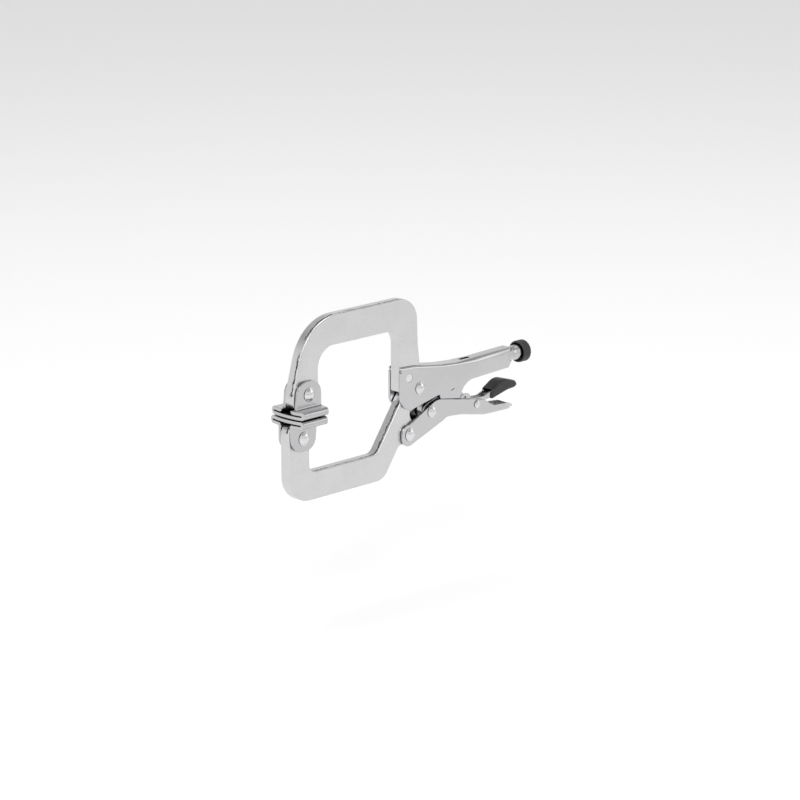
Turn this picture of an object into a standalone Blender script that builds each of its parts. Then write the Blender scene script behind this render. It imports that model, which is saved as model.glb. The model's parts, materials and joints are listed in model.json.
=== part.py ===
"""Locking C-clamp pliers, 280 mm long, as an assembly of separate riveted pieces.

The tool lies along X, jaws at -X and adjusting knob at +X. Z is the direction in which the jaws open,
and Y runs through the thickness of the plates. Outlines are given in millimetres, as (x, z, corner radius),
from the axis of the main jaw pivot. The origin of the scene is below the middle of the tool.
"""
import math

import bmesh
import bpy
import numpy as np
from mathutils import Matrix, Vector

MM = 0.001
ARC_STEP = math.radians(12)
BEND_STEPS = 4

# where the main pivot stands above the origin
MAIN_PIVOT_X = 5.95
MAIN_PIVOT_Z = 71.2

# running gap between pieces that meet
GAP = 0.3

# plates and channels, measured along Y
ARM_THICKNESS = 10.0
SHEET = 2.2
CHANNEL_INSIDE = ARM_THICKNESS + 2 * GAP
CHANNEL_WIDTH = CHANNEL_INSIDE + 2 * SHEET
LINK_THICKNESS = 8.0
RELEASE_WIDTH = 9.4
GRIP_WIDTH = 13.0

# joint axes, all along Y, as (x, z) from the main pivot
JAW_PIVOT = (0.0, 0.0)
LEVER_PIVOT = (-11.7, -37.5)
LINK_PIVOT = (14.2, -22.8)
LINK_TAIL = (66.0, 5.0)
RELEASE_PIVOT = (68.4, -26.7)
UPPER_PAD_PIVOT = (-126.2, 18.2)
LOWER_PAD_PIVOT = (-132.2, -17.0)
FIXED_ARM_RIVET = (-12.8, 11.0)

# adjusting screw, along X
SCREW_Z = 7.5
SCREW_RADIUS = 4.0
SCREW_TIP_X = 76.0
NECK_RADIUS = 6.5
NECK_END_X = 127.0
KNOB_RADIUS = 9.4
KNOB_FRONT_X = 124.3
KNOB_LENGTH = 9.0
KNOB_HOLLOW_RADIUS = 7.7
KNOB_HOLLOW_DEPTH = 4.3

# rivets
SHANK_RADIUS = 3.2
HOLE_RADIUS = SHANK_RADIUS + GAP

# moving jaw: eye round the main pivot, and the two edges of its slanting arm
EYE_RADIUS = 11.4
SLANT = math.radians(55)
SLANT_BACK = 8.2

# swivel pads: folded sheet, contact face at the bottom, ears up to the pivot
PAD_SHEET = 2.8
PAD_HALF_LENGTH = 13.5
PAD_BULGE = 2.6
PAD_HALF_WIDTH = 19.0
PAD_PIVOT_HEIGHT = 17.2
PAD_FOLD = 6.6
PAD_EAR_ROOT = 13.9
PAD_EAR_HALF_LENGTH = 12.1
PAD_EAR_TOP = PAD_PIVOT_HEIGHT + 10.8
PAD_PIVOT_OFFSET = 2.5

# tension spring, on a straight line from the jaw's eye to the slot in the handle's top
SPRING_FRONT = (5.6, -6.2)
SPRING_REAR = (59.6, 12.4)
SPRING_COIL = (11.0, 37.0)
SPRING_RADIUS = 3.1
SPRING_WIRE = 0.7


def clear_scene():
    for obj in list(bpy.data.objects):
        bpy.data.objects.remove(obj, do_unlink=True)


def new_collection(name):
    collection = bpy.data.collections.new(name)
    bpy.context.scene.collection.children.link(collection)
    return collection


clear_scene()
PARTS = new_collection("locking_c_clamp")
CUTTERS = new_collection("cutters")


# --- materials ---------------------------------------------------------------------------------------


def material(name, colour, roughness, metallic):
    made = bpy.data.materials.new(name)
    made.use_nodes = True
    shader = made.node_tree.nodes["Principled BSDF"]
    shader.inputs["Base Color"].default_value = (*colour, 1.0)
    shader.inputs["Roughness"].default_value = roughness
    shader.inputs["Metallic"].default_value = metallic
    return made


FORGED_STEEL = material("forged_steel", (0.66, 0.66, 0.67), 0.32, 1.0)
PRESSED_STEEL = material("pressed_steel", (0.70, 0.70, 0.71), 0.26, 1.0)
PAD_STEEL = material("pad_steel", (0.68, 0.68, 0.68), 0.24, 1.0)
RIVET_STEEL = material("rivet_steel", (0.74, 0.74, 0.75), 0.18, 1.0)
SPRING_STEEL = material("spring_steel", (0.45, 0.45, 0.46), 0.30, 1.0)
BLACK_PLASTIC = material("black_plastic", (0.02, 0.02, 0.022), 0.45, 0.0)


# --- frames for the moving pieces --------------------------------------------------------------------


def axis_empty(name, parent, x, z):
    """An empty on a joint's axis. Its place is kept in millimetres from the main pivot."""
    empty = bpy.data.objects.new(name, None)
    empty.empty_display_size = 0.01
    empty["from_pivot"] = (x, z)
    PARTS.objects.link(empty)
    if parent is None:
        empty.location = Vector((MAIN_PIVOT_X, 0.0, MAIN_PIVOT_Z)) * MM
    else:
        base_x, base_z = parent["from_pivot"]
        empty.parent = parent
        empty.location = Vector((x - base_x, 0.0, z - base_z)) * MM
    return empty


HANDLE = axis_empty("handle_frame", None, 0.0, 0.0)
JAW = axis_empty("jaw_axis", HANDLE, *JAW_PIVOT)
LEVER = axis_empty("lever_axis", JAW, *LEVER_PIVOT)
LINK = axis_empty("link_axis", LEVER, *LINK_PIVOT)
RELEASE = axis_empty("release_axis", LEVER, *RELEASE_PIVOT)
UPPER_PAD = axis_empty("upper_pad_axis", HANDLE, *UPPER_PAD_PIVOT)
LOWER_PAD = axis_empty("lower_pad_axis", JAW, *LOWER_PAD_PIVOT)
SCREW = axis_empty("screw_axis", HANDLE, KNOB_FRONT_X, SCREW_Z)


# --- shapes ------------------------------------------------------------------------------------------


def rounded(corners):
    """The outline through corners (x, z, radius), each turned into an arc of its radius."""
    points = []
    count = len(corners)
    for i, (x, z, radius) in enumerate(corners):
        corner = Vector((x, z))
        before = Vector(corners[i - 1][:2]) - corner
        after = Vector(corners[(i + 1) % count][:2]) - corner
        if radius <= 0:
            points.append(corner)
            continue
        before.normalize()
        after.normalize()
        opening = before.angle(after)
        run = radius / math.tan(opening / 2)
        turn = math.pi - opening
        centre = corner + (before + after).normalized() * radius / math.sin(opening / 2)
        start = corner + before * run - centre
        way = 1.0 if before.x * after.y - before.y * after.x < 0 else -1.0
        steps = max(2, math.ceil(turn / ARC_STEP))
        for k in range(steps + 1):
            points.append(centre + Matrix.Rotation(way * turn * k / steps, 2) @ start)
    return points


def arc(x, z, radius, start, end):
    """Points along an arc, its angles in degrees."""
    steps = max(2, math.ceil(abs(math.radians(end - start)) / ARC_STEP))
    angles = np.radians(np.linspace(start, end, steps + 1))
    return [Vector((x + radius * math.cos(a), z + radius * math.sin(a))) for a in angles]


def bar_outline(x1, z1, r1, x2, z2, r2):
    """Two round ends and the two straight lines that touch both."""
    length = math.hypot(x2 - x1, z2 - z1)
    heading = math.degrees(math.atan2(z2 - z1, x2 - x1))
    spread = math.degrees(math.acos((r1 - r2) / length))
    near = arc(x1, z1, r1, heading + spread, heading + 360 - spread)
    far = arc(x2, z2, r2, heading - spread, heading + spread)
    return near + far


def put(obj, frame):
    """Parent an object that is drawn from the main pivot to the frame that carries it."""
    x, z = frame["from_pivot"]
    obj.parent = frame
    obj.location -= Vector((x, 0.0, z)) * MM
    return obj


def closed_mesh(name, source, collection):
    """A mesh object with the evaluated shape and the place of a curve, its caps welded on."""
    graph = bpy.context.evaluated_depsgraph_get()
    mesh = bpy.data.meshes.new_from_object(source.evaluated_get(graph))
    mesh.name = name
    work = bmesh.new()
    work.from_mesh(mesh)
    bmesh.ops.remove_doubles(work, verts=work.verts, dist=0.000001)
    bmesh.ops.dissolve_limit(work, angle_limit=0.001, verts=work.verts, edges=work.edges)
    work.to_mesh(mesh)
    work.free()
    made = bpy.data.objects.new(name, mesh)
    made.matrix_world = source.matrix_world.copy()
    collection.objects.link(made)
    bpy.data.objects.remove(source)
    return made


def slab(name, outline, thickness, facing="Y", middle=0.0, collection=None):
    """A flat piece: an outline in millimetres, extruded to a thickness that is centred on middle.

    facing Y takes the outline as (x, z), facing Z as (x, y) and facing X as (y, z).
    """
    curve = bpy.data.curves.new(name, "CURVE")
    curve.dimensions = "2D"
    curve.fill_mode = "BOTH"
    curve.extrude = thickness / 2 * MM
    spline = curve.splines.new("POLY")
    spline.points.add(len(outline) - 1)
    for point, place in zip(spline.points, outline):
        point.co = (place.x * MM, place.y * MM, 0.0, 1.0)
    spline.use_cyclic_u = True
    drawn = bpy.data.objects.new(name + "_outline", curve)
    bpy.context.scene.collection.objects.link(drawn)
    if facing == "Y":
        drawn.rotation_euler = (math.pi / 2, 0.0, 0.0)
        drawn.location.y = middle * MM
    elif facing == "X":
        drawn.rotation_euler = (math.pi / 2, 0.0, math.pi / 2)
        drawn.location.x = middle * MM
    else:
        drawn.location.z = middle * MM
    bpy.context.view_layer.update()
    return closed_mesh(name, drawn, collection or PARTS)


def rod(name, x, z, radius, length, along="Y", middle=0.0, sides=32, collection=None):
    """A cylinder along Y at (x, z), or along X with its middle at x."""
    bpy.ops.mesh.primitive_cylinder_add(vertices=sides, radius=radius * MM, depth=length * MM)
    made = bpy.context.object
    made.name = name
    for holder in list(made.users_collection):
        holder.objects.unlink(made)
    (collection or PARTS).objects.link(made)
    if along == "Y":
        made.rotation_euler = (math.pi / 2, 0.0, 0.0)
    else:
        made.rotation_euler = (0.0, math.pi / 2, 0.0)
    made.location = Vector((x, middle, z)) * MM
    return made


def turned(name, profile, sides=32, collection=None):
    """A turned piece about its own Z, from a profile of (radius, height) that runs down its outside."""
    mesh = bpy.data.meshes.new(name)
    places = [(radius * MM, 0.0, height * MM) for radius, height in profile]
    mesh.from_pydata(places, [(i, i + 1) for i in range(len(places) - 1)], [])
    made = bpy.data.objects.new(name, mesh)
    (collection or PARTS).objects.link(made)
    spin = made.modifiers.new("turn", "SCREW")
    spin.steps = sides
    spin.render_steps = sides
    spin.use_merge_vertices = True
    spin.merge_threshold = 0.00001
    spin.use_smooth_shade = True
    return made


def combine(target, tool, operation):
    change = target.modifiers.new(operation.lower(), "BOOLEAN")
    change.operation = operation
    change.solver = "EXACT"
    change.object = tool
    tool.hide_render = True
    tool.display_type = "WIRE"


def cutter(make, *args, frame=None, **options):
    """A shape in the cutters' collection, carried by the same frame as the piece it cuts."""
    return put(make(*args, collection=CUTTERS, **options), frame)


def drill(target, frame, place, radius, sides=28):
    """A hole along Y, right through a piece."""
    hole = cutter(rod, target.name + "_hole", *place, radius, 40.0, sides=sides, frame=frame)
    combine(target, hole, "DIFFERENCE")


def soften(obj, width, segments, picks):
    """Round the sharp edges that picks accepts. It is given an edge's two ends in the piece's own axes."""
    work = bmesh.new()
    work.from_mesh(obj.data)
    sharp = [
        edge
        for edge in work.edges
        if len(edge.link_faces) == 2
        and edge.calc_face_angle() > math.radians(50)
        and picks(edge.verts[0].co / MM, edge.verts[1].co / MM)
    ]
    bmesh.ops.bevel(
        work, geom=sharp, offset=width * MM, segments=segments, profile=0.5, affect="EDGES",
        clamp_overlap=False,
    )
    work.to_mesh(obj.data)
    work.free()


def rim(start, end):
    """An edge along the outline of a slab, not one that runs through its thickness."""
    return abs(start.z - end.z) < 0.01


def finish_piece(obj, frame, made_of):
    obj.data.materials.clear()
    obj.data.materials.append(made_of)
    obj.data.shade_smooth()
    obj.data.set_sharp_from_angle(angle=math.radians(35))
    return put(obj, frame)


# --- the fixed side ----------------------------------------------------------------------------------

# top edge of the handle, as (x, z), from the cheeks' front corner to the tube's rear end
HANDLE_TOP = (
    (-22.5, 21.0),
    (-6.0, 20.0),
    (11.0, 17.3),
    (27.0, 15.0),
    (46.0, 13.4),
    (66.0, 13.5),
    (107.0, 14.9),
)


def handle_top():
    """The top line of the handle, from ahead of its front edge to behind its rear end."""
    line = [(-40.0, 21.6, 0.0)] + [(x, z, 60.0) for x, z in HANDLE_TOP[1:-1]] + [(125.0, 15.3, 0.0)]
    return rounded(line)


def handle_bar():
    """A solid bar of the channel's width under its top line. Its bends widen towards the round rear."""
    work = bmesh.new()
    rings = []
    for place in handle_top():
        rear = min(1.0, max(0.0, (place.x - 45.0) / 35.0))
        bend = 2.5 + 2.3 * rear * rear * (3 - 2 * rear)
        half = CHANNEL_WIDTH / 2
        side = [(half, -60.0, 0.0), (half, place.y, bend), (-half, place.y, bend), (-half, -60.0, 0.0)]
        rings.append([work.verts.new((place.x * MM, y * MM, z * MM)) for y, z in quarter_bends(side)])
    for first, second in zip(rings, rings[1:]):
        for k in range(len(first)):
            work.faces.new((first[k - 1], first[k], second[k], second[k - 1]))
    work.faces.new(rings[0])
    work.faces.new(rings[-1])
    bmesh.ops.recalc_face_normals(work, faces=work.faces)
    mesh = bpy.data.meshes.new("fixed_handle")
    work.to_mesh(mesh)
    work.free()
    bar = bpy.data.objects.new("fixed_handle", mesh)
    PARTS.objects.link(bar)
    return bar


def quarter_bends(corners):
    """Points of a section whose rounded corners are all square, with the same count for every radius."""
    points = []
    for y, z, radius in corners:
        if radius == 0.0:
            points.append((y, z))
            continue
        side = math.copysign(1.0, y)
        steps = [math.pi / 2 * k / BEND_STEPS for k in range(BEND_STEPS + 1)]
        bend = [(y - side * radius * (1 - math.cos(a)), z - radius * (1 - math.sin(a))) for a in steps]
        points += bend if side > 0 else reversed(bend)
    return points


def handle_side():
    """Side view of the folded channel: deep front cheek, waist, and the tube at the rear."""
    return rounded(
        [
            (-22.5, 40.0, 0.0),
            (61.0, 40.0, 0.0),
            (118.0, 11.4, 2.0),
            (118.0, 5.5, 2.0),
            (107.2, -1.7, 2.0),
            (51.2, -4.0, 17.0),
            (47.6, -17.7, 1.0),
            (24.4, -13.8, 0.8),
            (23.2, -10.0, 1.0),
            (-10.8, -17.0, 1.2),
            (-17.5, -14.5, 8.0),
            (-22.5, -8.0, 9.0),
        ]
    )


def handle_hollow():
    """The channel's inside: open below and in front, and open above where the fixed arm stands in it."""
    under_top = [(x, z - SHEET, 0.0) for x, z in HANDLE_TOP if x > 10.0]
    return rounded(
        [(-40.0, 60.0, 0.0), (3.0, 60.0, 0.0), (3.0, 16.4, 0.0)]
        + under_top
        + [
            (105.6, 0.6, 1.0),
            (74.0, -0.6, 0.0),
            (74.0, -60.0, 0.0),
            (-40.0, -60.0, 0.0),
        ]
    )


def neck_profile():
    """The round neck, waisted behind the handle's shoulders, as (radius, x) from its end forwards."""
    return [
        (0.0, NECK_END_X),
        (NECK_RADIUS - 0.6, NECK_END_X),
        (NECK_RADIUS, NECK_END_X - 0.6),
        (NECK_RADIUS, 122.6),
        (NECK_RADIUS - 0.4, 119.8),
        (NECK_RADIUS - 0.5, 117.4),
        (NECK_RADIUS - 0.3, 115.0),
        (NECK_RADIUS + 0.1, 112.6),
        (NECK_RADIUS + 0.6, 110.0),
        (NECK_RADIUS + 0.9, 107.0),
        (0.0, 107.0),
    ]


def make_fixed_handle():
    channel = handle_bar()
    combine(channel, cutter(slab, "handle_side", handle_side(), 40.0, frame=HANDLE), "INTERSECT")
    hollow = cutter(slab, "handle_hollow", handle_hollow(), CHANNEL_INSIDE, frame=HANDLE)
    combine(channel, hollow, "DIFFERENCE")

    half = CHANNEL_WIDTH / 2 + 1.0
    right = [(-40, -half, 0), (104, -half, 6), (114, -4.4, 2)]
    plan = rounded(right + [(x, -y, radius) for x, y, radius in reversed(right)])
    shoulders = cutter(slab, "handle_plan", plan, 80.0, facing="Z", frame=HANDLE)
    combine(channel, shoulders, "INTERSECT")

    neck = turned("handle_neck", neck_profile(), collection=CUTTERS)
    neck.rotation_euler = (0.0, math.pi / 2, 0.0)
    neck.location = Vector((0.0, 0.0, SCREW_Z)) * MM
    combine(channel, put(neck, HANDLE), "UNION")
    bore = cutter(
        rod, "handle_bore", 115.0, SCREW_Z, SCREW_RADIUS + GAP, 30.0, along="X", sides=28, frame=HANDLE
    )
    combine(channel, bore, "DIFFERENCE")

    seam = rounded([(70.0, -0.5, 0), (70.0, 0.5, 0), (125.0, 0.5, 0), (125.0, -0.5, 0)])
    combine(
        channel,
        cutter(slab, "handle_seam", seam, 6.0, facing="Z", middle=-2.0, frame=HANDLE),
        "DIFFERENCE",
    )
    slot = rounded([(53.5, -2.0, 1.6), (53.5, 2.0, 1.6), (65.5, 2.0, 1.6), (65.5, -2.0, 1.6)])
    combine(
        channel,
        cutter(slab, "spring_slot", slot, 12.0, facing="Z", middle=14.0, frame=HANDLE),
        "DIFFERENCE",
    )
    nick = rounded([(35.4, -9.2, 0), (38.6, -8.8, 0), (41.8, -7.4, 0), (38.4, -7.9, 0)])
    combine(channel, cutter(slab, "handle_nick", nick, 4.0, middle=-7.0, frame=HANDLE), "DIFFERENCE")
    drill(channel, HANDLE, JAW_PIVOT, HOLE_RADIUS)
    drill(channel, HANDLE, FIXED_ARM_RIVET, 3.7 + GAP)
    drill(channel, HANDLE, (-22.5, 17.4), 1.3, sides=16)
    finish_piece(channel, HANDLE, PRESSED_STEEL)


def make_fixed_jaw_arm():
    """Upper C arm. Its shank ends in a hollow arc that clears the moving jaw's eye."""
    clear = EYE_RADIUS + 0.5
    slant = math.degrees(SLANT)
    eye = arc(0.0, 0.0, clear, 78.0, 90.0 + slant)
    body = rounded(
        [
            (-22.5, -2.0, 1.5),
            (-22.5, 53.0, 12.0),
            (-113.2, 53.0, 17.0),
            (-113.2, 6.8, 7.0),
            (-141.2, 6.8, 7.0),
            (-141.2, 18.0, 20.0),
            (-124.2, 77.8, 42.0),
            (-1.4, 77.8, 20.0),
            (0.0, 38.0, 40.0),
            (2.4, 19.0, 0.0),
        ]
    )
    foot = Vector((-clear * math.sin(SLANT), clear * math.cos(SLANT))) - 10.8 * Vector(
        (math.cos(SLANT), math.sin(SLANT))
    )
    arm = slab("fixed_jaw_arm", body + eye + [foot], ARM_THICKNESS)
    soften(arm, 1.1, 2, lambda a, b: rim(a, b) and not near_eye(a, b, clear))
    drill(arm, HANDLE, UPPER_PAD_PIVOT, HOLE_RADIUS)
    drill(arm, HANDLE, FIXED_ARM_RIVET, 3.7 + GAP)
    finish_piece(arm, HANDLE, FORGED_STEEL)


def near_eye(start, end, radius):
    return max(math.hypot(start.x, start.y), math.hypot(end.x, end.y)) < radius + 0.6


# --- the moving jaw ----------------------------------------------------------------------------------


def slant_point(offset, z):
    """The point at height z on the line that slants past the main pivot at a distance of offset."""
    x = -offset * math.sin(SLANT) + (z - offset * math.cos(SLANT)) / math.tan(SLANT)
    return x, z


def make_moving_jaw_arm():
    """Lower C arm: pad end, leg, bottom bar, slanting arm, eye on the main pivot, and lug for the lever."""
    arm = slab(
        "moving_jaw_arm",
        rounded(
            [
                (-146.0, -5.4, 7.0),
                (-123.4, -5.4, 7.0),
                (-123.4, -48.2, 7.0),
                (*slant_point(EYE_RADIUS, -48.2), 8.0),
                (*slant_point(EYE_RADIUS, EYE_RADIUS), EYE_RADIUS - 0.1),
                (EYE_RADIUS, EYE_RADIUS, EYE_RADIUS - 0.1),
                (EYE_RADIUS, -EYE_RADIUS, EYE_RADIUS - 0.1),
                (-9.2, -EYE_RADIUS, 4.0),
                (-9.2, -23.5, 6.0),
                (-2.6, -31.0, 5.0),
                (-2.6, -46.4, 8.6),
                (*slant_point(-SLANT_BACK, -45.6), 5.0),
                (*slant_point(-SLANT_BACK, -71.2), 15.0),
                (-146.0, -71.2, 23.0),
            ]
        ),
        ARM_THICKNESS,
    )
    soften(arm, 1.1, 2, rim)
    for place in (JAW_PIVOT, LEVER_PIVOT, LOWER_PAD_PIVOT):
        drill(arm, JAW, place, HOLE_RADIUS)
    mouth = rounded([(3.2, -8.4, 0.6), (4.2, -5.0, 0.6), (20.0, 0.6, 0), (20.0, -4.0, 0)])
    combine(arm, cutter(slab, "spring_mouth", mouth, 3.0, frame=JAW), "DIFFERENCE")
    finish_piece(arm, JAW, FORGED_STEEL)


# --- swivel pads -------------------------------------------------------------------------------------


def make_pad(name, frame, pivot, up):
    """A swivel pad. up is +1 for the pad that hangs from the fixed arm, and -1 for the one that faces it."""
    x, z = pivot
    face = z - up * PAD_PIVOT_HEIGHT
    middle = x - up * PAD_PIVOT_OFFSET
    ear_in = CHANNEL_INSIDE / 2
    ear_out = ear_in + PAD_SHEET

    def level(height):
        return face + up * height

    half = [
        (PAD_HALF_WIDTH, level(0.0), PAD_FOLD / 2 - 0.05),
        (PAD_HALF_WIDTH, level(PAD_FOLD), PAD_FOLD / 2 - 0.05),
        (ear_out, level(PAD_FOLD), 1.2),
        (ear_out, level(PAD_EAR_TOP + 2), 0.0),
        (ear_in, level(PAD_EAR_TOP + 2), 0.0),
        (ear_in, level(PAD_FOLD - PAD_SHEET), 2.4),
        (PAD_HALF_WIDTH - PAD_SHEET, level(PAD_FOLD - PAD_SHEET), 0.45),
        (PAD_HALF_WIDTH - PAD_SHEET, level(PAD_SHEET), 0.45),
    ]
    section = half + [(-y, height, radius) for y, height, radius in reversed(half)]
    length = 2 * (PAD_HALF_LENGTH + PAD_BULGE) + 4
    pad = slab(name, rounded(section), length, facing="X", middle=middle)

    end_radius = (PAD_HALF_WIDTH**2 + PAD_BULGE**2) / (2 * PAD_BULGE)
    swing = math.degrees(math.asin(PAD_HALF_WIDTH / end_radius)) + 1.5
    reach = PAD_HALF_LENGTH + PAD_BULGE - end_radius
    plan = arc(middle + reach, 0.0, end_radius, -swing, swing) + arc(
        middle - reach, 0.0, end_radius, 180 - swing, 180 + swing
    )
    combine(pad, cutter(slab, name + "_plan", plan, 120.0, facing="Z", frame=frame), "INTERSECT")

    wide = PAD_HALF_LENGTH + PAD_BULGE + 3
    base = level(PAD_FOLD + 0.1)
    side = rounded(
        [
            (middle - wide, base, 0.0),
            (middle - wide, level(-1.0), 0.0),
            (middle + wide, level(-1.0), 0.0),
            (middle + wide, base, 0.0),
            (x + PAD_EAR_ROOT, base, 0.0),
            (x + PAD_EAR_HALF_LENGTH, level(PAD_EAR_TOP), 10.6),
            (x - PAD_EAR_HALF_LENGTH, level(PAD_EAR_TOP), 10.6),
            (x - PAD_EAR_ROOT, base, 0.0),
        ]
    )
    combine(pad, cutter(slab, name + "_side", side, 80.0, frame=frame), "INTERSECT")
    drill(pad, frame, pivot, HOLE_RADIUS)
    finish_piece(pad, frame, PAD_STEEL)


# --- lever, link and release lever -------------------------------------------------------------------


def make_hand_lever():
    """Folded channel, open on top. Its cheeks run out into a scooped tail."""
    side = rounded(
        [
            (-20.6, -47.3, 7.4),
            (-20.6, -30.0, 7.4),
            (-12.0, -29.4, 4.0),
            (20.5, -13.4, 16.0),
            (77.5, -24.4, 9.0),
            (88.3, -31.5, 9.0),
            (108.0, -32.9, 8.0),
            (117.8, -37.2, 0.7),
            (117.8, -38.6, 0.6),
            (111.0, -38.5, 0.0),
            (78.0, -38.0, 40.0),
            (50.0, -32.4, 40.0),
            (33.0, -31.0, 20.0),
            (-11.5, -47.3, 7.0),
        ]
    )
    lever = slab("hand_lever", side, CHANNEL_WIDTH)
    half = CHANNEL_WIDTH / 2
    plan = rounded(
        [
            (-40, half + 1, 0),
            (-40, -half - 1, 0),
            (92, -half - 1, 0),
            (105, -half + 0.3, 14),
            (117.6, -2.2, 2.1),
            (117.6, 2.2, 2.1),
            (105, half - 0.3, 14),
            (92, half + 1, 0),
        ]
    )
    soften(lever, 1.6, 2, lambda a, b: rim(a, b) and lever_bottom(a) and lever_bottom(b))
    combine(lever, cutter(slab, "lever_plan", plan, 200.0, facing="Z", frame=LEVER), "INTERSECT")

    floor = SHEET
    hollow_side = rounded(
        [
            (-60.0, 20.0, 0.0),
            (-60.0, -80.0, 0.0),
            (6.0, -80.0, 0.0),
            (6.0, -41.0 + floor, 2.0),
            (32.0, -31.0 + floor, 20.0),
            (50.0, -32.4 + floor, 30.0),
            (78.0, -38.0 + floor, 30.0),
            (117.0, -39.0 + floor, 0.0),
            (130.0, 20.0, 0.0),
        ]
    )
    inside = CHANNEL_INSIDE / 2
    hollow_plan = rounded(
        [
            (-70, inside, 0),
            (-70, -inside, 0),
            (82, -inside, 8),
            (91, -6.6, 6),
            (104, -6.4, 10),
            (115.8, -1.6, 1.3),
            (115.8, 1.6, 1.3),
            (104, 6.4, 10),
            (91, 6.6, 6),
            (82, inside, 8),
        ]
    )
    hollow = cutter(slab, "lever_hollow", hollow_side, 20.0, frame=LEVER)
    ends = cutter(slab, "lever_hollow_plan", hollow_plan, 300.0, facing="Z", frame=LEVER)
    combine(hollow, ends, "INTERSECT")
    combine(lever, hollow, "DIFFERENCE")
    for place in (LEVER_PIVOT, LINK_PIVOT):
        drill(lever, LEVER, place, HOLE_RADIUS)
    drill(lever, LEVER, RELEASE_PIVOT, 2.2 + GAP)
    finish_piece(lever, LEVER, PRESSED_STEEL)


def lever_bottom(place):
    """True along the lever's lower edge, between its open front and its tail."""
    return -2.0 < place.x < 112.0 and place.y < -30.0 and place.y < -29.0 - 0.12 * max(0.0, place.x - 60.0)


def make_toggle_link():
    """From the lever to the adjusting screw, with a belly that the release lever's toe pushes."""
    belly = (38.0, -12.6, 4.6)
    link = slab("toggle_link", bar_outline(*LINK_PIVOT, 7.0, *belly), LINK_THICKNESS)
    rear = cutter(slab, "link_rear", bar_outline(*belly, *LINK_TAIL, 4.2), LINK_THICKNESS, frame=LINK)
    combine(link, rear, "UNION")
    drill(link, LINK, LINK_PIVOT, HOLE_RADIUS)
    finish_piece(link, LINK, FORGED_STEEL)


def make_release_lever():
    """A channel open on top. Toe and two ears in front of its rivet, and behind it the grip's tang."""
    lever = slab(
        "release_lever",
        rounded(
            [
                (44.8, -21.6, 1.4),
                (50.6, -21.6, 0.8),
                (50.8, -15.9, 5.0),
                (61.6, -15.9, 5.0),
                (63.9, -21.8, 1.5),
                (79.0, -22.8, 10.0),
                (92.0, -18.4, 8.0),
                (114.0, -18.0, 1.1),
                (114.0, -20.4, 1.1),
                (96.0, -20.6, 6.0),
                (88.0, -25.2, 5.0),
                (77.6, -26.4, 3.0),
                (73.4, -31.4, 4.2),
                (63.4, -31.4, 4.2),
                (58.0, -25.6, 5.0),
                (44.8, -25.6, 1.8),
            ]
        ),
        RELEASE_WIDTH,
    )
    soften(lever, 0.5, 1, rim)
    gutter = rounded(
        [
            (52.0, 0.0, 0.0),
            (52.0, -22.4, 1.0),
            (66.0, -23.1, 4.0),
            (76.0, -24.3, 6.0),
            (86.0, -23.3, 6.0),
            (92.6, -20.0, 0.8),
            (92.6, 0.0, 0.0),
        ]
    )
    combine(lever, cutter(slab, "release_gutter", gutter, RELEASE_WIDTH - 3.2, frame=RELEASE), "DIFFERENCE")
    drill(lever, RELEASE, RELEASE_PIVOT, 2.2 + GAP)
    drill(lever, RELEASE, (56.2, -19.6), 1.3, sides=16)
    finish_piece(lever, RELEASE, PRESSED_STEEL)


def make_release_grip():
    """It slips over the tang, and its end is rounded from above too."""
    grip = slab(
        "release_grip",
        rounded(
            [
                (88.0, -18.4, 3.0),
                (101.5, -10.8, 14.0),
                (119.0, -16.2, 3.0),
                (120.7, -21.0, 2.1),
                (107.6, -21.9, 12.0),
                (97.0, -24.4, 12.0),
                (86.2, -27.0, 2.4),
            ]
        ),
        GRIP_WIDTH,
    )
    soften(grip, 2.0, 3, rim)
    pocket = rounded(
        [
            (80.0, -20.3, 0.0),
            (90.9, -17.75, 8.0),
            (114.4, -17.55, 1.2),
            (114.4, -20.85, 1.2),
            (96.3, -21.05, 6.0),
            (88.3, -25.65, 5.0),
            (80.0, -26.9, 0.0),
        ]
    )
    cut = cutter(slab, "grip_pocket", pocket, RELEASE_WIDTH + 2 * GAP, frame=RELEASE)
    combine(grip, cut, "DIFFERENCE")
    right = [(70.0, -8.0, 0), (111.0, -8.0, 0), (120.9, -4.6, 5.0)]
    end = rounded(right + [(x, -y, radius) for x, y, radius in reversed(right)])
    combine(grip, cutter(slab, "grip_end", end, 90.0, facing="Z", frame=RELEASE), "INTERSECT")
    finish_piece(grip, RELEASE, BLACK_PLASTIC)


# --- rivets, screw, knob and spring ------------------------------------------------------------------


def rivet(name, frame, place, head_radius, dome, half_grip, shank=SHANK_RADIUS):
    """A rivet along Y with a domed head on each side, half_grip from the middle."""
    ball = (head_radius**2 + dome**2) / (2 * dome)
    tilt = math.asin(head_radius / ball)
    rise = [
        (ball * math.sin(tilt * k / 5), half_grip + dome - ball + ball * math.cos(tilt * k / 5))
        for k in range(6)
    ]
    upper = rise + [(shank, half_grip)]
    lower = [(radius, -height) for radius, height in reversed(upper)]
    made = turned(name, upper + lower, sides=28)
    made.rotation_euler = (math.pi / 2, 0.0, 0.0)
    made.location = Vector((place[0], 0.0, place[1])) * MM
    finish_piece(made, frame, RIVET_STEEL)


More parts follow.
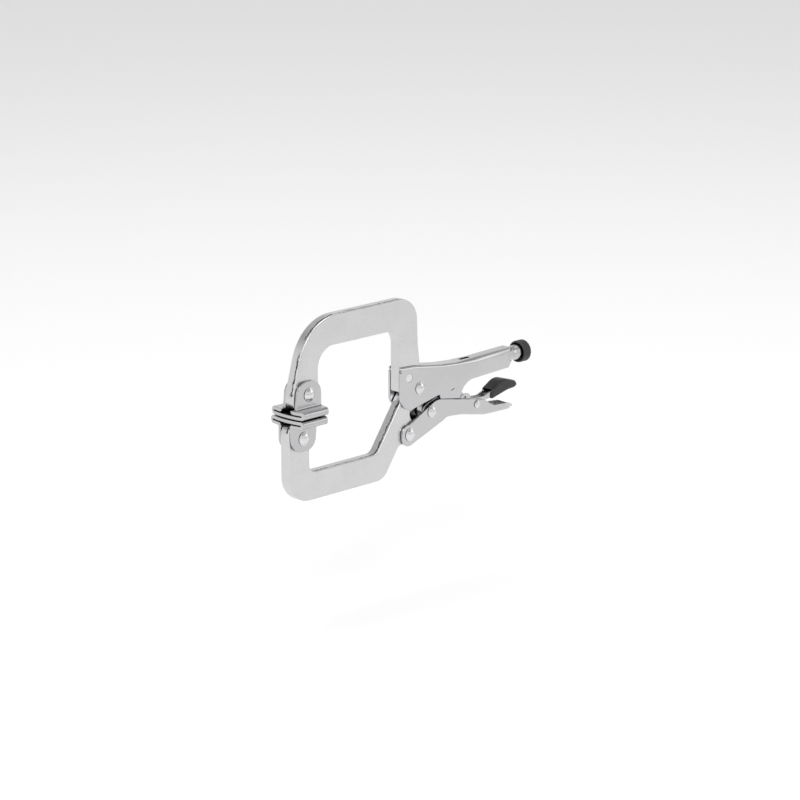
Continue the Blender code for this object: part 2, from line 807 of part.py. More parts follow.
def make_rivets():
    cheek = CHANNEL_WIDTH / 2 + GAP
    ear = CHANNEL_INSIDE / 2 + PAD_SHEET + GAP
    rivet("jaw_pivot_rivet", HANDLE, JAW_PIVOT, 5.3, 2.3, cheek)
    rivet("lever_pivot_rivet", LEVER, LEVER_PIVOT, 5.5, 2.3, cheek)
    rivet("link_rivet", LEVER, LINK_PIVOT, 5.2, 2.2, cheek)
    rivet("release_lever_rivet", LEVER, RELEASE_PIVOT, 3.5, 1.5, cheek, shank=2.2)
    rivet("upper_pad_rivet", HANDLE, UPPER_PAD_PIVOT, 5.8, 2.4, ear)
    rivet("lower_pad_rivet", JAW, LOWER_PAD_PIVOT, 5.8, 2.4, ear)
    flush = rod("fixed_arm_rivet", *FIXED_ARM_RIVET, 3.7, CHANNEL_WIDTH + 0.1, sides=28)
    finish_piece(flush, HANDLE, RIVET_STEEL)


def make_screw_and_knob():
    hollow = KNOB_FRONT_X + KNOB_HOLLOW_DEPTH
    end = hollow + 2.6
    point = 1.0
    screw = turned(
        "adjusting_screw",
        [
            (0.0, end),
            (SCREW_RADIUS, end),
            (SCREW_RADIUS, SCREW_TIP_X + point),
            (SCREW_RADIUS - point, SCREW_TIP_X),
            (0.0, SCREW_TIP_X),
        ],
    )
    back = KNOB_FRONT_X + KNOB_LENGTH
    knob = turned(
        "adjusting_knob",
        [
            (0.0, back + 0.8),
            (KNOB_RADIUS - 3.0, back + 0.5),
            (KNOB_RADIUS - 0.6, back - 0.3),
            (KNOB_RADIUS, back - 1.2),
            (KNOB_RADIUS, KNOB_FRONT_X + 0.8),
            (KNOB_RADIUS - 0.8, KNOB_FRONT_X),
            (KNOB_HOLLOW_RADIUS, KNOB_FRONT_X),
            (KNOB_HOLLOW_RADIUS, hollow),
            (SCREW_RADIUS + GAP, hollow),
            (SCREW_RADIUS + GAP, end + GAP),
            (0.0, end + GAP),
        ],
        sides=40,
    )
    for piece, made_of in ((screw, SPRING_STEEL), (knob, BLACK_PLASTIC)):
        piece.rotation_euler = (0.0, math.pi / 2, 0.0)
        piece.location = Vector((0.0, 0.0, SCREW_Z)) * MM
        finish_piece(piece, SCREW, made_of)


def make_tension_spring():
    """The spring as its outer shape: a wire, the coil's cylinder, and a wire to the slot."""
    run_x = SPRING_REAR[0] - SPRING_FRONT[0]
    run_z = SPRING_REAR[1] - SPRING_FRONT[1]
    length = math.hypot(run_x, run_z)
    first, last = SPRING_COIL
    spring = turned(
        "tension_spring",
        [
            (0.0, length),
            (SPRING_WIRE, length),
            (SPRING_WIRE, last + 1.5),
            (SPRING_RADIUS, last),
            (SPRING_RADIUS, first),
            (SPRING_WIRE, first - 1.5),
            (SPRING_WIRE, 0.0),
            (0.0, 0.0),
        ],
        sides=16,
    )
    spring.rotation_euler = (0.0, math.atan2(run_x, run_z), 0.0)
    spring.location = Vector((SPRING_FRONT[0], 0.0, SPRING_FRONT[1])) * MM
    finish_piece(spring, HANDLE, SPRING_STEEL)


make_fixed_handle()
make_fixed_jaw_arm()
make_moving_jaw_arm()
make_pad("upper_swivel_pad", UPPER_PAD, UPPER_PAD_PIVOT, 1)
make_pad("lower_swivel_pad", LOWER_PAD, LOWER_PAD_PIVOT, -1)
make_hand_lever()
make_toggle_link()
make_release_lever()
make_release_grip()
make_rivets()
make_screw_and_knob()
make_tension_spring()
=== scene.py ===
"""Looks of the locking C-clamp pliers: a finer piece with its own finish for every CAD node.

Shapes are drawn in millimetres from the axis of the main jaw pivot, with X along the handles
and Z upwards. present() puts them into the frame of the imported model.
"""
import json
import math

import bmesh
import bpy
from mathutils import Matrix, Vector


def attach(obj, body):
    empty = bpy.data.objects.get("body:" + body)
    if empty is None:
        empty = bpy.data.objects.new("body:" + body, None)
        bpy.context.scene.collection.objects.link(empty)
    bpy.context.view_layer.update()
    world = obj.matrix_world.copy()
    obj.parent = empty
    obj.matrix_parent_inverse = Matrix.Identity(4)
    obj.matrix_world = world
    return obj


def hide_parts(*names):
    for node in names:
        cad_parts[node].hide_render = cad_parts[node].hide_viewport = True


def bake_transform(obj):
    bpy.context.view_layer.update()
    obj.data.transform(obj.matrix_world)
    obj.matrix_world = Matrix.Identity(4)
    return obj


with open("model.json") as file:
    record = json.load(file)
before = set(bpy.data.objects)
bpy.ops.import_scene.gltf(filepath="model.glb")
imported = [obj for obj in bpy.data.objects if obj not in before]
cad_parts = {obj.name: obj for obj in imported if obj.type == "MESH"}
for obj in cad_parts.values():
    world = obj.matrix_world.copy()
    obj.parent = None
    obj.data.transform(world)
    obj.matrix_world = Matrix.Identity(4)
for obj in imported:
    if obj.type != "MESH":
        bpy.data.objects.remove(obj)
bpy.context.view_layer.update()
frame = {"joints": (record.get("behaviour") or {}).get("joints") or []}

MM = 0.001
PLACES = {joint["name"]: joint.get("pos_m") for joint in frame["joints"]}
MAIN_PLACE = PLACES["jaw_opening"]
MAIN_PIVOT = Vector(MAIN_PLACE)


def pivot_of(joint):
    """A joint's place as (x, z), in millimetres from the main pivot."""
    x, _, z = (round((here - main) / MM, 3) for here, main in zip(PLACES[joint], MAIN_PLACE))
    return x, z


# How finely curves are drawn, which edges count as sharp, and which are shaded as sharp.
ARC_STEP = math.radians(5)
BEND_STEPS = 9
TURNED_SIDES = 64
SHARP = math.radians(40)
SHADED_SHARP = math.radians(50)

# How wide the edges of each kind of piece are rounded.
ARM_EDGE = 1.1
SHEET_EDGE = 0.35
LEVER_EDGE = 1.7
GRIP_EDGE = 2.05

# Where the rounded edges of the handle and of the lever stop, ahead of their tails.
HANDLE_EDGE_END_X = 103.0
LEVER_EDGE_END_X = 106.0

# Longer than any hole, for the tools that drill them.
THROUGH = 60.0

# Thicknesses and widths across the pliers.
ARM_THICKNESS = 10.0
GAP = 0.3
SHEET = 2.2
CHANNEL_INSIDE = ARM_THICKNESS + 2 * GAP
CHANNEL_WIDTH = CHANNEL_INSIDE + 2 * SHEET
LINK_THICKNESS = 8.0
RELEASE_WIDTH = 9.4
RELEASE_SHEET = 1.6
GRIP_WIDTH = 13.0

# The pivots from the frame, and two places that no joint gives, as (x, z).
JAW_PIVOT = pivot_of("jaw_opening")
LEVER_PIVOT = pivot_of("lever_swing")
LINK_PIVOT = pivot_of("link_swing")
RELEASE_PIVOT = pivot_of("release_press")
UPPER_PAD_PIVOT = pivot_of("upper_pad_tilt")
LOWER_PAD_PIVOT = pivot_of("lower_pad_tilt")
LINK_TAIL = (66.0, 5.0)
FIXED_ARM_RIVET = (-12.8, 11.0)

# Radii of the holes for the rivets, and of two small holes with nothing in them.
HOLE_RADIUS = 3.5
RELEASE_HOLE_RADIUS = 2.5
FIXED_ARM_HOLE_RADIUS = 3.7 + 0.08
SMALL_HOLE_RADIUS = 1.3

# The adjusting screw, the neck it runs through and its knob.
SCREW_Z = pivot_of("knob_turn")[1]
SCREW_RADIUS = 4.0
SCREW_TIP_X = 76.0
SCREW_PITCH = 1.25
THREAD_DEPTH = 0.55
THREAD_SIDES = 32
RINGS_PER_PITCH = 6
NECK_RADIUS = 6.5
NECK_START_X = 107.0
NECK_WAIST_X = 117.4
NECK_END_X = 127.0
NECK_SIDES = 72
KNOB_RADIUS = 9.4
KNOB_FRONT_X = 124.3
KNOB_LENGTH = 9.0
KNOB_HOLLOW_RADIUS = 7.7
KNOB_HOLLOW_DEPTH = 4.3
KNOB_GRIPS = 26
POINTS_PER_GRIP = 6
SCREW_END_X = KNOB_FRONT_X + KNOB_HOLLOW_DEPTH + 2.6

# The moving jaw's round eye, and the slanted edges that run down from it.
EYE_RADIUS = 11.4
SLANT = math.radians(55)
SLANT_BACK = 8.2

# The swivel pads. Heights are from the face that presses on the work.
PAD_SHEET = 2.8
PAD_HALF_LENGTH = 13.5
PAD_BULGE = 2.6
PAD_HALF_WIDTH = 19.0
PAD_PIVOT_HEIGHT = 17.2
PAD_FOLD = 6.6
PAD_EAR_ROOT = 13.9
PAD_EAR_HALF_LENGTH = 12.1
PAD_EAR_TOP = PAD_PIVOT_HEIGHT + 10.8
PAD_PIVOT_OFFSET = 2.5

# The tension spring's two ends, the stretch between them that is coiled, and its wire.
SPRING_FRONT = Vector((5.6, -6.2))
SPRING_REAR = Vector((59.6, 12.4))
SPRING_COIL = (11.0, 37.0)
SPRING_RADIUS = 3.1
SPRING_WIRE_RADIUS = 0.6
SPRING_TURN_GAP = 0.12
SPRING_TURN_STEPS = 20
SPRING_WIRE_SIDES = 8


# --- camera, light and floor --------------------------------------------------------------------

CAMERA_TARGET = MAIN_PIVOT + Vector((-16.151, 0.0, -8.556)) * MM
CAMERA_DISTANCE = 2.59473
CAMERA_AZIMUTH = math.radians(-45)
CAMERA_ELEVATION = math.radians(15)
CAMERA_LENS = 141.75
LIGHTS_AIM = Vector((0.0, 0.0, 0.07))
FLOOR_Z = -0.1

# The studio's greys by height, from 0 straight down through 0.5 at the horizon to 1 straight up.
STUDIO_GREYS = (
    (0.0, 0.5),
    (0.49, 0.6),
    (0.52, 0.95),
    (0.68, 0.9),
    (0.8, 0.4),
    (0.88, 0.45),
    (0.94, 1.0),
    (1.0, 1.0),
)


def look(obj, place, target):
    """Put a camera or lamp at a place, turned towards a target."""
    obj.location = place
    obj.rotation_mode = "QUATERNION"
    obj.rotation_quaternion = (target - place).to_track_quat("-Z", "Y")


def make_camera():
    """The photo's view, from the jaws' side and slightly above."""
    camera = bpy.data.objects.new("camera", bpy.data.cameras.new("camera"))
    camera.data.lens = CAMERA_LENS
    camera.data.clip_end = 50.0
    bpy.context.scene.collection.objects.link(camera)
    away = Vector(
        (
            math.sin(CAMERA_AZIMUTH) * math.cos(CAMERA_ELEVATION),
            -math.cos(CAMERA_AZIMUTH) * math.cos(CAMERA_ELEVATION),
            math.sin(CAMERA_ELEVATION),
        )
    )
    look(camera, CAMERA_TARGET + away * CAMERA_DISTANCE, CAMERA_TARGET)
    bpy.context.scene.camera = camera


def area_light(name, place, size, power):
    """A soft lamp that shines on the pliers."""
    lamp = bpy.data.lights.new(name, "AREA")
    lamp.shape = "RECTANGLE"
    lamp.size, lamp.size_y = size
    lamp.energy = power
    obj = bpy.data.objects.new(name, lamp)
    bpy.context.scene.collection.objects.link(obj)
    look(obj, Vector(place), LIGHTS_AIM)


def make_world():
    """Surroundings that are white at eye level and overhead, with a grey band in between."""
    world = bpy.data.worlds.new("studio")
    bpy.context.scene.world = world
    world.use_nodes = True
    nodes, links = world.node_tree.nodes, world.node_tree.links
    background = nodes["Background"]
    place = nodes.new("ShaderNodeTexCoord")
    split = nodes.new("ShaderNodeSeparateXYZ")
    ramp = nodes.new("ShaderNodeValToRGB")
    height = nodes.new("ShaderNodeMapRange")
    height.inputs["From Min"].default_value = -1.0
    links.new(place.outputs["Generated"], split.inputs[0])
    links.new(split.outputs["Z"], height.inputs["Value"])
    links.new(height.outputs["Result"], ramp.inputs["Fac"])
    elements = ramp.color_ramp.elements
    for end in (0, -1):
        position, grey = STUDIO_GREYS[end]
        elements[end].position, elements[end].color = position, (grey, grey, grey, 1)
    for position, grey in STUDIO_GREYS[1:-1]:
        elements.new(position).color = (grey, grey, grey, 1)
    links.new(ramp.outputs["Color"], background.inputs["Color"])
    background.inputs["Strength"].default_value = 1.0


def make_floor():
    """A pale floor, far enough down for the open jaw and the hanging lever to stay clear of it."""
    bpy.ops.mesh.primitive_plane_add(size=12.0, location=(0.0, 0.0, FLOOR_Z))
    floor = bpy.context.object
    floor.name = "floor"
    paper = bpy.data.materials.new("pale_floor")
    paper.use_nodes = True
    shader = paper.node_tree.nodes["Principled BSDF"]
    shader.inputs["Base Color"].default_value = (0.93, 0.93, 0.93, 1)
    shader.inputs["Roughness"].default_value = 0.9
    floor.data.materials.append(paper)


make_camera()
make_world()
make_floor()
area_light("key", (-1.6, -1.5, 2.0), (1.6, 1.2), 20)
area_light("left", (-2.2, 0.6, 0.9), (1.0, 1.6), 5)
area_light("top", (0.3, 0.3, 2.4), (1.8, 1.8), 18)
area_light("right", (1.8, -1.4, 1.0), (0.9, 1.4), 3)
bpy.context.scene.view_settings.view_transform = "Standard"


# --- finishes -----------------------------------------------------------------------------------

# Where the painted dark reflection line runs through an arm's thickness and how far it strays, in
# metres.
RIM_REFLECTION_Y = -0.0024
RIM_REFLECTION_WANDER = 0.0012

CLOUD_PER_MM = 0.06
MOTTLE = 0.03
# How dark the painted crevice shade is, as a part of each steel's grey.
PAINTED_SHADE = 0.08
BLACK_FLAT = (0.012, 0.012, 0.013)
BLACK_RUBBED = (0.035, 0.035, 0.037)


class Finish:
    """A Principled material, with helpers that join nodes on the piece's own coordinates."""

    def __init__(self, name):
        self.material = bpy.data.materials.new(name)
        self.material.use_nodes = True
        self.nodes = self.material.node_tree.nodes
        self.links = self.material.node_tree.links
        self.shader = self.nodes["Principled BSDF"]
        self.place = self.nodes.new("ShaderNodeTexCoord")

    def noise(self, per_mm, detail=2.0, stretch=(1, 1, 1), rough=0.5):
        """Noise with about per_mm bumps in a millimetre, times stretch along X, Y and Z."""
        scale = self.nodes.new("ShaderNodeMapping")
        scale.inputs["Scale"].default_value = [1000 * per_mm * s for s in stretch]
        self.links.new(self.place.outputs["Object"], scale.inputs["Vector"])
        noise = self.nodes.new("ShaderNodeTexNoise")
        noise.inputs["Scale"].default_value = 1.0
        noise.inputs["Detail"].default_value = detail
        noise.inputs["Roughness"].default_value = rough
        self.links.new(scale.outputs["Vector"], noise.inputs["Vector"])
        return noise.outputs["Fac"]

    def spread(self, value, low, high, start=0.3, end=0.7):
        """low where value is at start or less, high where it is at end or more."""
        ramp = self.nodes.new("ShaderNodeMapRange")
        numbers = {"From Min": start, "From Max": end, "To Min": low, "To Max": high}
        for socket, number in numbers.items():
            ramp.inputs[socket].default_value = number
        self.links.new(value, ramp.inputs["Value"])
        return ramp.outputs["Result"]

    def maths(self, operation, first, second=0.0, clamp=True):
        """An operation on two sockets or numbers, kept between 0 and 1 if clamp is set."""
        node = self.nodes.new("ShaderNodeMath")
        node.operation = operation
        node.use_clamp = clamp
        for socket, value in zip(node.inputs, (first, second)):
            if isinstance(value, float):
                socket.default_value = value
            else:
                self.links.new(value, socket)
        return node.outputs[0]

    def tint(self, factor, dark, light):
        """The dark colour where factor is 0, and the light one where it is 1."""
        mix = self.nodes.new("ShaderNodeMix")
        mix.data_type = "RGBA"
        mix.inputs["A"].default_value = (*dark, 1)
        mix.inputs["B"].default_value = (*light, 1)
        self.links.new(factor, mix.inputs["Factor"])
        return mix.outputs["Result"]

    def mixed(self, factor, dark, light):
        """A tint whose light colour is a socket."""
        mixed = self.tint(factor, dark, (1.0, 1.0, 1.0))
        self.links.new(light, mixed.node.inputs["B"])
        return mixed

    def painted_crevice_shade(self, reach_mm):
        """Mask for painted shade: 0 deep in gaps and inner corners, 1 in the open."""
        shade = self.nodes.new("ShaderNodeAmbientOcclusion")
        shade.inputs["Distance"].default_value = reach_mm * MM
        shade.samples = 8
        return self.spread(shade.outputs["AO"], 0.0, 1.0, start=0.15, end=0.6)

    def parts_of(self, kind):
        """The X, Y and Z of a texture coordinate. Y is the way through the plates."""
        split = self.nodes.new("ShaderNodeSeparateXYZ")
        self.links.new(self.place.outputs[kind], split.inputs[0])
        return split.outputs

    def painted_rim_reflection(self):
        """1 on a ragged line along the upper rims, where a dark reflection is painted."""
        facing = self.parts_of("Normal")
        on_rim = self.spread(self.maths("ABSOLUTE", facing["Y"]), 1.0, 0.0, start=0.3, end=0.6)
        on_top = self.spread(facing["Z"], 0.0, 1.0, start=0.1, end=0.2)
        low, high = RIM_REFLECTION_Y - RIM_REFLECTION_WANDER, RIM_REFLECTION_Y + RIM_REFLECTION_WANDER
        wander = self.spread(self.noise(0.3, 5.0, rough=0.65), low, high)
        away = self.maths("SUBTRACT", self.parts_of("Object")["Y"], wander, clamp=False)
        near = self.spread(self.maths("ABSOLUTE", away), 1.0, 0.0, start=0.0005, end=0.001)
        unbroken = self.spread(self.noise(0.05, 2.0), 0.0, 1.0, start=0.36, end=0.44)
        line = self.maths("MULTIPLY", near, on_rim)
        return self.maths("MULTIPLY", line, self.maths("MULTIPLY", unbroken, on_top))

    def pointed(self):
        """0 in creases, 1 on sharp outer edges."""
        sharpness = self.nodes.new("ShaderNodeNewGeometry").outputs["Pointiness"]
        return self.spread(sharpness, 0.0, 1.0, start=0.42, end=0.58)

    def bump(self, height, distance_mm, strength):
        """Let the surface seem to rise by distance_mm where height is 1."""
        node = self.nodes.new("ShaderNodeBump")
        node.inputs["Distance"].default_value = distance_mm * MM
        node.inputs["Strength"].default_value = strength
        self.links.new(height, node.inputs["Height"])
        self.links.new(node.outputs["Normal"], self.shader.inputs["Normal"])


def steel(name, grey, roughness, grain, depth, stretch=(1, 1, 1), shade=3.0, rim_reflection=False):
    """Nickel-plated steel: a fine grain, faint cloudy patches, worn edges and painted crevice
    shade.

    The grain has grain bumps in a millimetre, depth mm deep. Shade is painted into crevices within
    shade mm.
    """
    finish = Finish(name)
    cloud = finish.noise(CLOUD_PER_MM, 3.0)
    fine = finish.noise(grain, 3.0, stretch)
    edge = finish.pointed()
    rubbed = finish.spread(edge, 0.0, 0.4, start=0.3, end=0.9)
    tone = finish.maths("ADD", finish.spread(cloud, 0.0, 0.6), rubbed)
    dark = tuple(c * (1 - 2 * MOTTLE) for c in grey)
    light = tuple(min(1.0, c * (1 + MOTTLE)) for c in grey)
    plate = finish.tint(tone, dark, light)
    # Painted shade: deep in crevices and gaps, the plate's colour goes towards this dark grey.
    painted_shade_colour = tuple(c * PAINTED_SHADE for c in grey)
    unshaded = finish.painted_crevice_shade(shade)
    # Paint a dark reflection line along the upper rims as well.
    if rim_reflection:
        unshaded = finish.maths("SUBTRACT", unshaded, finish.painted_rim_reflection())
    finish.links.new(finish.mixed(unshaded, painted_shade_colour, plate), finish.shader.inputs["Base Color"])
    wear = finish.spread(edge, 1.0, 0.75, start=0.5, end=0.9)
    worn = finish.maths("MULTIPLY", wear, finish.spread(fine, roughness * 0.8, roughness * 1.2))
    patchy = finish.maths("ADD", worn, finish.spread(cloud, -0.02, 0.03))
    finish.links.new(patchy, finish.shader.inputs["Roughness"])
    finish.shader.inputs["Metallic"].default_value = 1.0
    finish.bump(fine, depth, 0.7)
    return finish.material


def black_moulding(name, roughness):
    """Black plastic with the fine texture of its mould, greyer on its edges."""
    finish = Finish(name)
    spark = finish.noise(2.5, 3.0)
    cloud = finish.noise(0.12, 3.0)
    rubbed = finish.spread(finish.pointed(), 0.0, 1.0, start=0.5, end=1.0)
    black = finish.tint(rubbed, BLACK_FLAT, BLACK_RUBBED)
    finish.links.new(black, finish.shader.inputs["Base Color"])
    patchy = finish.spread(cloud, roughness - 0.07, roughness + 0.08)
    finish.links.new(patchy, finish.shader.inputs["Roughness"])
    finish.bump(spark, 0.03, 0.5)
    return finish.material


# Each steel gets painted shade in its crevices, reaching shade mm.
FORGED = steel("forged_plated", (0.63, 0.63, 0.638), 0.34, grain=1.1, depth=0.02, rim_reflection=True)
PRESSED = steel(
    "pressed_plated",
    (0.55, 0.55, 0.558),
    0.25,
    grain=2.0,
    depth=0.008,
    stretch=(0.3, 1, 1),
    shade=5.0,
)
PADS = steel(
    "pad_plated", (0.51, 0.51, 0.518), 0.22, grain=1.6, depth=0.008, stretch=(1, 0.3, 1)
)
RIVETS = steel("rivet_polished", (0.7, 0.7, 0.708), 0.1, grain=1.5, depth=0.003, shade=2.5)
SPRING = steel("spring_wire", (0.42, 0.42, 0.43), 0.3, grain=3.0, depth=0.01, shade=1.0)
BLACK = black_moulding("black_moulded", 0.42)


# --- shapes -------------------------------------------------------------------------------------


def eased(part):
    """0 to 1 with a gentle start and end, as part goes from 0 to 1. Flat beyond."""
    part = min(1.0, max(0.0, part))
    return part * part * (3 - 2 * part)


def rounded(corners):
    """The outline through corners (x, z, radius), each turned into an arc of its radius."""
    points = []
    count = len(corners)
    for i, (x, z, radius) in enumerate(corners):
        corner = Vector((x, z))
        before = (Vector(corners[i - 1][:2]) - corner).normalized()
        after = (Vector(corners[(i + 1) % count][:2]) - corner).normalized()
        if radius <= 0:
            points.append(corner)
            continue
        opening = before.angle(after)
        run = radius / math.tan(opening / 2)
        turn = math.pi - opening
        centre = corner + (before + after).normalized() * radius / math.sin(opening / 2)
        start = corner + before * run - centre
        way = 1.0 if before.x * after.y - before.y * after.x < 0 else -1.0
        steps = max(2, math.ceil(turn / ARC_STEP))
        for k in range(steps + 1):
            points.append(centre + Matrix.Rotation(way * turn * k / steps, 2) @ start)
    return points


def arc(x, z, radius, start, end):
    """Points along an arc, its angles in degrees."""
    steps = max(2, math.ceil(abs(math.radians(end - start)) / ARC_STEP))
    angles = [math.radians(start + (end - start) * k / steps) for k in range(steps + 1)]
    return [Vector((x + radius * math.cos(a), z + radius * math.sin(a))) for a in angles]


def touching(one, other):
    """Two angles in degrees, for circles given as (x, z, radius).

    The first is the heading from one circle to the other. The second is how far round from
    that heading the lines that touch both circles meet them.
    """
    way = Vector(other[:2]) - Vector(one[:2])
    heading = math.degrees(math.atan2(way.y, way.x))
    return heading, math.degrees(math.acos((one[2] - other[2]) / way.length))


def bent_bar(first, bend, last):
    """The outline of three circles joined by the lines that touch them, bending to the left."""
    heading, spread = touching(first, bend)
    next_heading, next_spread = touching(bend, last)
    outline = arc(*first, heading + spread, heading + 360 - spread)
    outline += arc(*bend, heading - spread, next_heading - next_spread)
    outline += arc(*last, next_heading - next_spread, next_heading + next_spread)
    left, next_left = math.radians(heading + spread), math.radians(next_heading + next_spread)
    reach = bend[2] / math.cos((next_left - left) / 2)
    inner = (left + next_left) / 2
    inside = Vector((bend[0] + reach * math.cos(inner), bend[1] + reach * math.sin(inner)))
    return outline + [inside]


def mesh_object(name, work):
    """An object from a finished bmesh, its faces turned outwards."""
    bmesh.ops.recalc_face_normals(work, faces=work.faces)
    mesh = bpy.data.meshes.new(name)
    work.to_mesh(mesh)
    work.free()
    made = bpy.data.objects.new(name, mesh)
    bpy.context.scene.collection.objects.link(made)
    return made


def slab(name, outline, thickness, facing="Y", middle=0.0):
    """A flat piece: an outline extruded to a thickness that is centred on middle."""
    work = bmesh.new()
    kept = [p for i, p in enumerate(outline) if (p - outline[i - 1]).length > 1e-4]
    rings = []
    for level in (middle - thickness / 2, middle + thickness / 2):
        if facing == "Y":
            places = [(p.x, level, p.y) for p in kept]
        elif facing == "X":
            places = [(level, p.x, p.y) for p in kept]
        else:
            places = [(p.x, p.y, level) for p in kept]
        rings.append([work.verts.new(place) for place in places])
    for ring in rings:
        work.faces.new(ring)
    for i in range(len(kept)):
        work.faces.new((rings[0][i - 1], rings[0][i], rings[1][i], rings[1][i - 1]))
    return mesh_object(name, work)


def turned(name, profile, sides, axis="Y", place=(0.0, 0.0, 0.0), ripple=None):
    """A closed turned piece from (radius, height) points along its axis.

    ripple(radius, height, angle), where it is given, says the radius at each point instead.
    """
    work = bmesh.new()
    rings = []
    for radius, height in profile:
        if radius < 1e-6:
            rings.append([work.verts.new((0.0, 0.0, height))])
            continue
        ring = []
        for k in range(sides):
            angle = 2 * math.pi * k / sides
            reach = radius if ripple is None else ripple(radius, height, angle)
            ring.append(work.verts.new((reach * math.cos(angle), reach * math.sin(angle), height)))
        rings.append(ring)
    for first, second in zip(rings, rings[1:]):
        for k in range(sides):
            corners = [first[k % len(first)], first[(k + 1) % len(first)]]
            corners += [second[(k + 1) % len(second)], second[k % len(second)]]
            work.faces.new(list(dict.fromkeys(corners)))
    turn = Matrix.Rotation(math.pi / 2, 4, "Y" if axis == "X" else "X")
    bmesh.ops.transform(work, matrix=Matrix.Translation(place) @ turn, verts=work.verts)
    return mesh_object(name, work)


def rod(name, x, z, radius, length, axis="Y"):
    """A plain round bar whose middle is at (x, z)."""
    half = length / 2
    profile = [(0, half), (radius, half), (radius, -half), (0, -half)]
    return turned(name, profile, TURNED_SIDES, axis, (x, 0, z))


def settle(obj):
    """Replace the mesh by its evaluated shape, and drop the modifiers."""
    graph = bpy.context.evaluated_depsgraph_get()
    mesh = bpy.data.meshes.new_from_object(obj.evaluated_get(graph))
    obj.modifiers.clear()
    obj.data = mesh
    return obj


def combine(target, tool, operation="DIFFERENCE"):
    """Cut the target with a tool, join the two or keep what they share. The tool is used up."""
    change = target.modifiers.new("shape", "BOOLEAN")
    change.operation = operation
    change.solver = "EXACT"
    change.object = tool
    settle(target)
    bpy.data.objects.remove(tool)
    return target


def drill(target, place, radius):
    """Drill a hole across the pliers at place, an (x, z)."""
    return combine(target, rod("hole", *place, radius, THROUGH))


def soften(obj, width, segments, picks=None):
    """Round the sharp edges that picks accepts, given the two ends of each."""
    work = bmesh.new()
    work.from_mesh(obj.data)
    sharp = [
        edge
        for edge in work.edges
        if len(edge.link_faces) == 2
        and edge.calc_face_angle() > SHARP
        and (picks is None or picks(edge.verts[0].co, edge.verts[1].co))
    ]
    bmesh.ops.bevel(
        work,
        geom=sharp,
        offset=width,
        segments=segments,
        profile=0.5,
        affect="EDGES",
        clamp_overlap=False,
    )
    work.to_mesh(obj.data)
    work.free()
    return obj


def split_warped_faces(obj):
    """Cut the faces that a bevel left bent into triangles, so that later cuts stay exact."""
    work = bmesh.new()
    work.from_mesh(obj.data)
    warped = [
        face
        for face in work.faces
        if any(abs((v.co - face.calc_center_median()).dot(face.normal)) > 1e-3 for v in face.verts)
    ]
    bmesh.ops.triangulate(work, faces=warped)
    work.to_mesh(obj.data)
    work.free()


def rim(start, end):
    """An edge along the outline of a plate, not one that runs through its thickness."""
    return abs(start.y - end.y) < 0.01


def ahead_of(x):
    """What picks the edges that lie wholly ahead of x, towards the jaws."""
    return lambda start, end: max(start.x, end.x) < x


def present(obj, node, body, finish, break_edge=0.0, bend=None):
    """Break the edges, put the piece into the frame, and let it stand for its CAD node.

    A piece given a bend keeps its place baked into its mesh and goes with no body.
    """
    obj.name = node + "_look"
    if break_edge:
        soften(obj, break_edge, 2)
    obj.data.transform(Matrix.Translation(MAIN_PIVOT) @ Matrix.Scale(MM, 4))
    obj.data.shade_smooth()
    obj.data.set_sharp_from_angle(angle=SHADED_SHARP)
    flat = obj.modifiers.new("flat", "WEIGHTED_NORMAL")
    flat.keep_sharp = True
    settle(obj)
    obj.data.materials.clear()
    obj.data.materials.append(finish)
    if bend:
        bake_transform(obj)
    else:
        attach(obj, body)
    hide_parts(node)


# --- the fixed side -----------------------------------------------------------------------------

# The handle's top line, as (x, z).
HANDLE_TOP = (
    (-22.5, 21.0),
    (-6.0, 20.0),
    (11.0, 17.3),
    (27.0, 15.0),
    (46.0, 13.4),
    (66.0, 13.5),
    (107.0, 14.9),
)
HANDLE_TOP_SWEEP = 60.0
BEND_RADIUS = 2.5
REAR_BEND_MORE = 2.3
REAR_BEND_START_X = 45.0
REAR_BEND_RUN = 35.0


def handle_bar():
    """A solid bar of the channel's width under its top line. Its bends widen towards the rear."""
    sweeps = [(x, z, HANDLE_TOP_SWEEP) for x, z in HANDLE_TOP[1:-1]]
    top = rounded([(-40.0, 21.6, 0.0), *sweeps, (125.0, 15.3, 0.0)])
    half = CHANNEL_WIDTH / 2
    steps = [math.pi / 2 * k / BEND_STEPS for k in range(BEND_STEPS + 1)]
    work = bmesh.new()
    rings = []
    for place in top:
        rear = eased((place.x - REAR_BEND_START_X) / REAR_BEND_RUN)
        bend = BEND_RADIUS + REAR_BEND_MORE * rear
        right = [
            (half - bend * (1 - math.cos(a)), place.y - bend * (1 - math.sin(a))) for a in steps
        ]
        section = [(half, -60.0)] + right + [(-y, z) for y, z in reversed(right)] + [(-half, -60.0)]
        rings.append([work.verts.new((place.x, y, z)) for y, z in section])
    for first, second in zip(rings, rings[1:]):
        for k in range(len(first)):
            work.faces.new((first[k - 1], first[k], second[k], second[k - 1]))
    work.faces.new(rings[0])
    work.faces.new(rings[-1])
    return mesh_object("fixed_handle", work)


def neck_profile():
    """The round neck, waisted behind the handle's shoulders, as (radius, x) from its front."""
    steps = 24
    length = 16.0
    waist = []
    for k in range(steps + 1):
        x = NECK_START_X + length * k / steps
        narrower = 1.4 * eased((x - NECK_START_X) / (NECK_WAIST_X - NECK_START_X))
        wider = 0.5 * eased((x - NECK_WAIST_X) / (NECK_START_X + length - NECK_WAIST_X))
        waist.append((NECK_RADIUS + 0.9 - narrower + wider, x))
    lip = [
        (NECK_RADIUS, NECK_END_X - 0.9),
        (NECK_RADIUS - 0.3, NECK_END_X - 0.25),
        (NECK_RADIUS - 0.9, NECK_END_X),
    ]
    return [(0, NECK_START_X), *waist, *lip, (0, NECK_END_X)]


